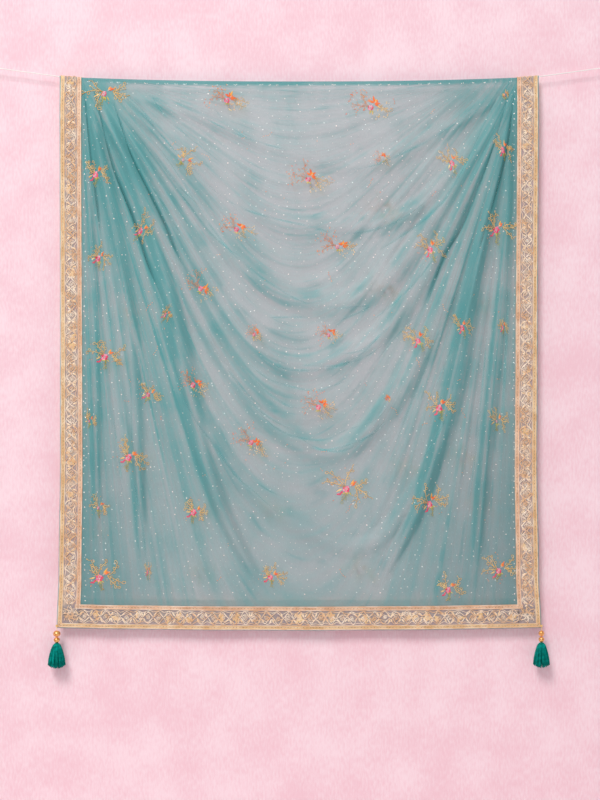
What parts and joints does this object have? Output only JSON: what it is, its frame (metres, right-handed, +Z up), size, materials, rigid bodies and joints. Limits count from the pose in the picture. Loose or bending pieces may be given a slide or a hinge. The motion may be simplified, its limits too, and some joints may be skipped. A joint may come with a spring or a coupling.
{
  "type": "dupatta stole hung over a line",
  "caption": "Sheer organza dupatta folded in half over a thin line, with gold lace round its edges, swag folds, and a beaded tassel at each front corner.",
  "frame": {"origin": "on the axis of the line at the middle of the cloth, where the fold rests on it", "axes": "+Z up, -Y out of the front fall towards the viewer, +X to the viewer's right along the line"},
  "size_m": [1.3394, 0.0454, 1.2631],
  "materials": {
    "organza": "sheer teal organza with a soft sheen",
    "gold_lace": "gold thread lace on a mauve-grey net ground",
    "gold_thread": "metallic gold thread",
    "gold_bead": "polished warm gold",
    "tassel_silk": "deep green silk floss",
    "cotton_line": "twisted white cotton"
  },
  "bodies": {
    "root": {"front_fall": "organza", "line_fold": "organza", "back_fall": "organza", "lace_left_front": "gold_lace", "lace_right_front": "gold_lace", "lace_hem_front": "gold_lace", "lace_left_over_line": "gold_lace", "lace_right_over_line": "gold_lace", "lace_left_back": "gold_lace", "lace_right_back": "gold_lace", "lace_hem_back": "gold_lace", "corner_knot_left": "gold_thread", "corner_knot_right": "gold_thread", "tassel_thread_left": "gold_thread", "tassel_thread_right": "gold_thread", "upper_bead_left": "gold_bead", "upper_bead_right": "gold_bead", "lower_bead_left": "gold_bead", "lower_bead_right": "gold_bead", "tassel_left": "tassel_silk", "tassel_right": "tassel_silk", "hanging_line": "cotton_line", "end_knot_left": "cotton_line", "end_knot_right": "cotton_line", "end_loop_left": "cotton_line", "end_loop_right": "cotton_line"}
  },
  "joints": []
}
